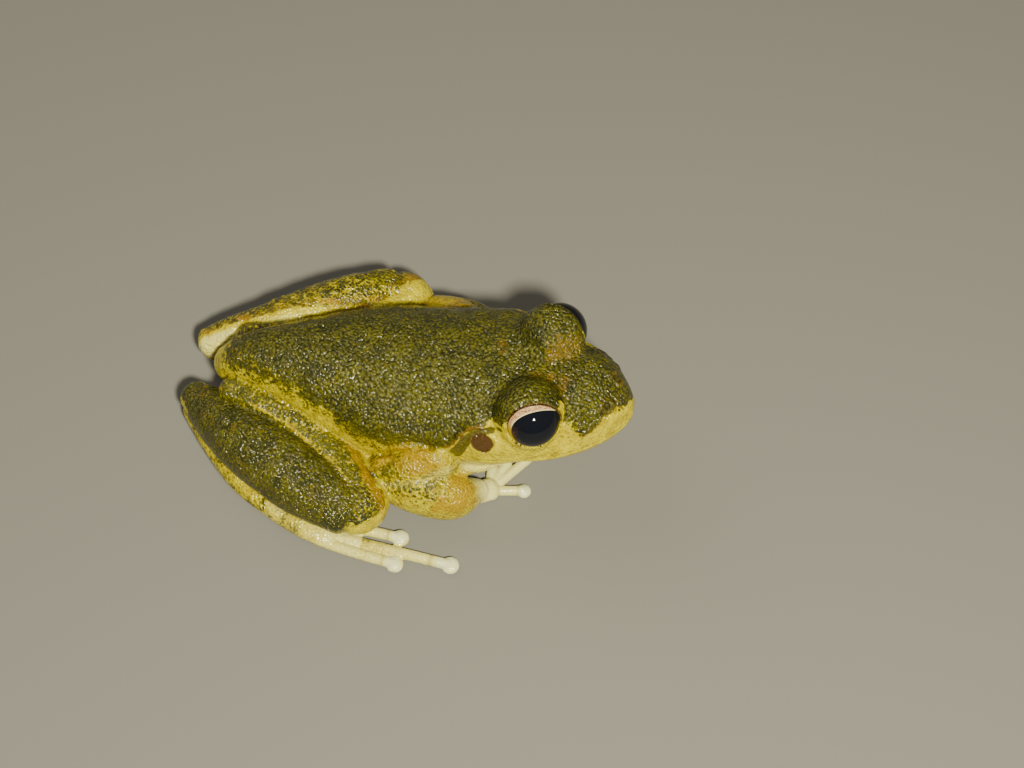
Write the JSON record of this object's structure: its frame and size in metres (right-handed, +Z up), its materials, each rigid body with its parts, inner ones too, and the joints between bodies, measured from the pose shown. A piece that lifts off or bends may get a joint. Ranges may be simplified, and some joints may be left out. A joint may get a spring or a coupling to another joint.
{
  "type": "lesueurs frog",
  "caption": "Still life-size model of a small olive and yellow stream tree frog at rest, with folded hind legs, webbed feet and round toe pads.",
  "frame": {"origin": "middle of the frog's bounding box, on the floor", "axes": "+X towards the snout along the trunk, +Y to the frog's left, +Z up"},
  "size_m": [0.0444, 0.031, 0.0172],
  "materials": {
    "back_skin": "moist fine-grained skin",
    "leg_skin": "moist fine-grained skin",
    "throat_skin": "smooth moist skin",
    "foot_skin": "smooth moist skin",
    "eardrum": "smooth taut skin",
    "eye": "wet gloss"
  },
  "bodies": {
    "root": {"eye_left": "eye", "eye_right": "eye", "foot_left": "foot_skin", "foot_right": "foot_skin", "forearm_left": "leg_skin", "forearm_right": "leg_skin", "hand_left": "foot_skin", "hand_right": "foot_skin", "head": "back_skin", "lower_jaw": "throat_skin", "shank_left": "leg_skin", "shank_right": "leg_skin", "tarsus_left": "foot_skin", "tarsus_right": "foot_skin", "thigh_left": "leg_skin", "thigh_right": "leg_skin", "torso": "back_skin", "tympanum_left": "eardrum", "tympanum_right": "eardrum", "upper_arm_left": "leg_skin", "upper_arm_right": "leg_skin"}
  },
  "joints": []
}
